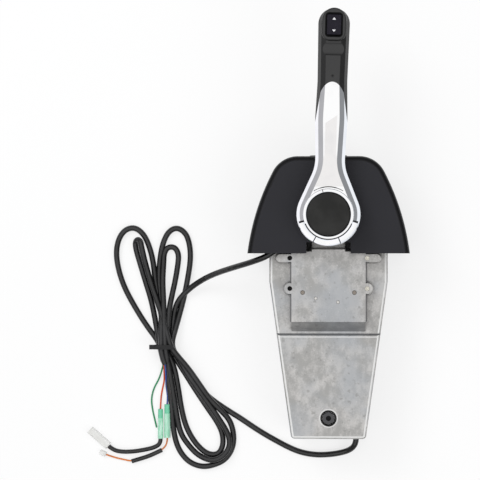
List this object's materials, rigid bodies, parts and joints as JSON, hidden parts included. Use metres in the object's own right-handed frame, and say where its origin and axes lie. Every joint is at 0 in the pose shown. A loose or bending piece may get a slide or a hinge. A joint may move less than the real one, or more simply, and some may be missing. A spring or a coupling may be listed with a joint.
{
  "type": "boat throttle control lever",
  "caption": "Single-lever boat control: chrome lever with rocker switch grip and push-button hub on a black cover, with a tapered cast housing below and a tied hank of leads.",
  "frame": {"origin": "where the lever's pivot axis meets the flat back of the cover", "axes": "+Z out of the lever side along the pivot axis, +Y up towards the lever's grip, +X to the right"},
  "size_m": [0.3317, 0.4607, 0.1162],
  "materials": {
    "cover": "fine moulded texture with a glossier rim",
    "casting": "blotchy die-cast surface",
    "chrome": "bright plated",
    "steel": "plain",
    "bronze": "plain bearing bronze",
    "grip": "satin black",
    "button": "smooth black",
    "black_trim": "smooth black",
    "rubber": "soft black",
    "lead_sleeve": "black sleeving",
    "tie": "black nylon",
    "white_plastic": "milky white",
    "green_plastic": "pale green, soft",
    "green_insulation": "wire insulation",
    "red_insulation": "wire insulation",
    "blue_insulation": "wire insulation",
    "orange_insulation": "wire insulation"
  },
  "bodies": {
    "housing": {"cover_front": "cover", "cover_rear": "cover", "cover_top_insert": "black_trim", "cover_screws": "steel", "housing_body": "casting", "back_plate": "casting", "back_plate_screws": "steel", "front_bush": "bronze", "rear_bush": "bronze", "inner_bracket": "steel", "bracket_rivets": "steel", "clamp_bolt": "black_trim", "clamp_grommet": "rubber", "cable_clamp": "steel", "arm_pivot_pin": "steel", "detent_ball": "steel", "detent_spring": "steel", "detent_plug": "steel", "neutral_switch": "black_trim", "switch_screws": "steel", "cover_lead_clip": "tie", "housing_lead_grommet": "rubber", "cover_lead": "lead_sleeve", "housing_lead": "lead_sleeve", "harness_hank": "lead_sleeve", "cable_tie": "tie", "green_wire": "green_insulation", "red_wire": "red_insulation", "blue_wire": "blue_insulation", "orange_wire": "orange_insulation", "tail_wire": "orange_insulation", "upper_tail": "lead_sleeve", "lower_tail": "lead_sleeve", "bullet_sleeves": "green_plastic", "block_connector": "white_plastic", "pin_connector": "white_plastic"},
    "lever": {"main_shaft": "steel", "thrust_washer": "steel", "throttle_drive_gear": "steel", "shift_drive_gear": "steel", "detent_plate": "steel", "shaft_circlip": "steel", "lever_arm": "chrome", "hub_bezel": "chrome", "bolt_washer": "steel", "lever_bolt": "steel", "hub_seal": "rubber", "button_spring": "steel", "grip_body": "grip", "grip_back": "grip", "grip_screws": "steel", "switch_bezel": "black_trim", "rocker_pin": "steel"},
    "button": {"throttle_button": "button"},
    "rocker": {"trim_rocker": "button"},
    "shift_arm": {"shift_sector": "steel", "shift_cable_pin": "steel"},
    "throttle_arm": {"throttle_sector": "steel", "throttle_cable_pin": "steel"},
    "plunger": {"switch_plunger": "black_trim"}
  },
  "joints": [
    {"name": "lever_swing", "type": "hinge", "parent": "housing", "child": "lever", "pos_m": [0, 0, 0], "axis": [0, 0, 1], "range_deg": [-85, 70]},
    {"name": "button_press", "type": "slide", "parent": "lever", "child": "button", "axis": [0, 0, -1], "range_m": [0, 0.004], "stiffness_N_per_m": 800, "springref_m": -0.002, "deforming": ["button_spring"]},
    {"name": "trim_rock", "type": "hinge", "parent": "lever", "child": "rocker", "pos_m": [0.0055, 0.18542, 0.1115], "axis": [0.9996, -0.0297, 0], "range_deg": [-8, 8], "stiffness_Nm_per_rad": 0.15},
    {"name": "shift_turn", "type": "hinge", "parent": "housing", "child": "shift_arm", "pos_m": [0, -0.076, 0], "axis": [0, 0, 1], "range_deg": [-37, 45]},
    {"name": "throttle_turn", "type": "hinge", "parent": "housing", "child": "throttle_arm", "pos_m": [0, -0.076, 0], "axis": [0, 0, 1], "range_deg": [-46.5, 56]},
    {"name": "plunger_press", "type": "slide", "parent": "housing", "child": "plunger", "axis": [-1, 0, 0], "range_m": [0, 0.0015], "stiffness_N_per_m": 400, "springref_m": -0.001}
  ],
  "couplings": [
    {"joint": "shift_turn", "follows": "lever_swing", "ratio": -0.52},
    {"joint": "throttle_turn", "follows": "lever_swing", "ratio": -0.65217}
  ]
}
